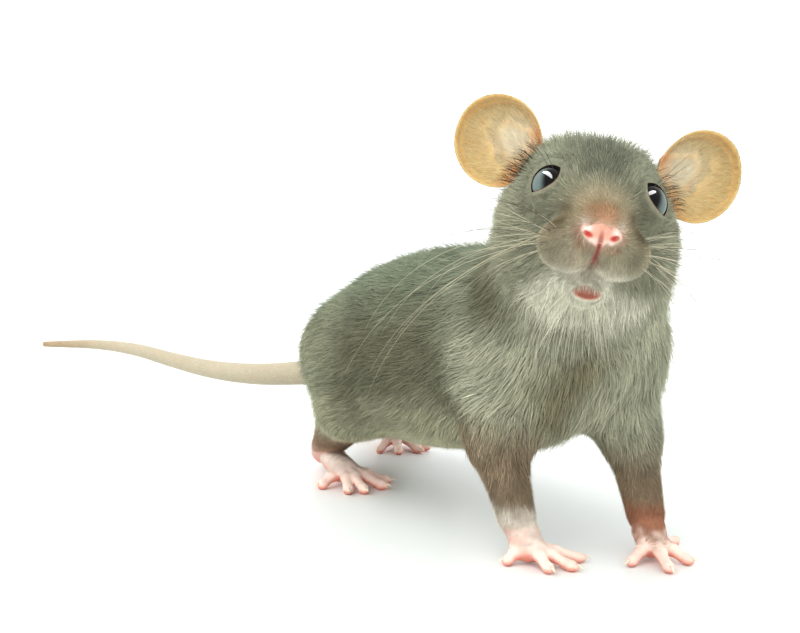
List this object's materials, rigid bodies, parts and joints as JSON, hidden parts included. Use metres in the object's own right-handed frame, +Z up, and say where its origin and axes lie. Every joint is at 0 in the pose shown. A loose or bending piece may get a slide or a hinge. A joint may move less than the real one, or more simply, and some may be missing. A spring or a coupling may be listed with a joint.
{
  "type": "young grey rat, life-size still model",
  "caption": "Young grey fancy rat standing on all fours, head raised and turned to its right, large round ears, tail held out behind.",
  "frame": {"origin": "on the floor, under the middle of the bounding box", "axes": "+Z up; the body faces -Y; the rat's own left side is +X; the head is turned towards -X; the tail runs towards +Y"},
  "size_m": [0.0808, 0.2302, 0.0825],
  "materials": {
    "coat": "short dense fur, olive grey above and paler grey below",
    "bare_skin": "pink bare skin, satin",
    "tail_skin": "fine ringed scales, beige pink, satin",
    "ear_skin": "thin tan skin that light shines through",
    "eye": "wet black, high gloss",
    "claw": "pale horn, translucent",
    "whisker": "cream and dark hairs"
  },
  "bodies": {
    "root": {"trunk": "coat", "neck": "coat", "head": "coat", "foreleg_left": "coat", "foreleg_right": "coat", "hindleg_left": "coat", "hindleg_right": "coat", "forepaw_left": "bare_skin", "forepaw_right": "bare_skin", "hind_foot_left": "bare_skin", "hind_foot_right": "bare_skin", "tail_base": "tail_skin", "tail_middle": "tail_skin", "tail_tip": "tail_skin", "ear_left": "ear_skin", "ear_right": "ear_skin", "eye_left": "eye", "eye_right": "eye"}
  },
  "joints": []
}
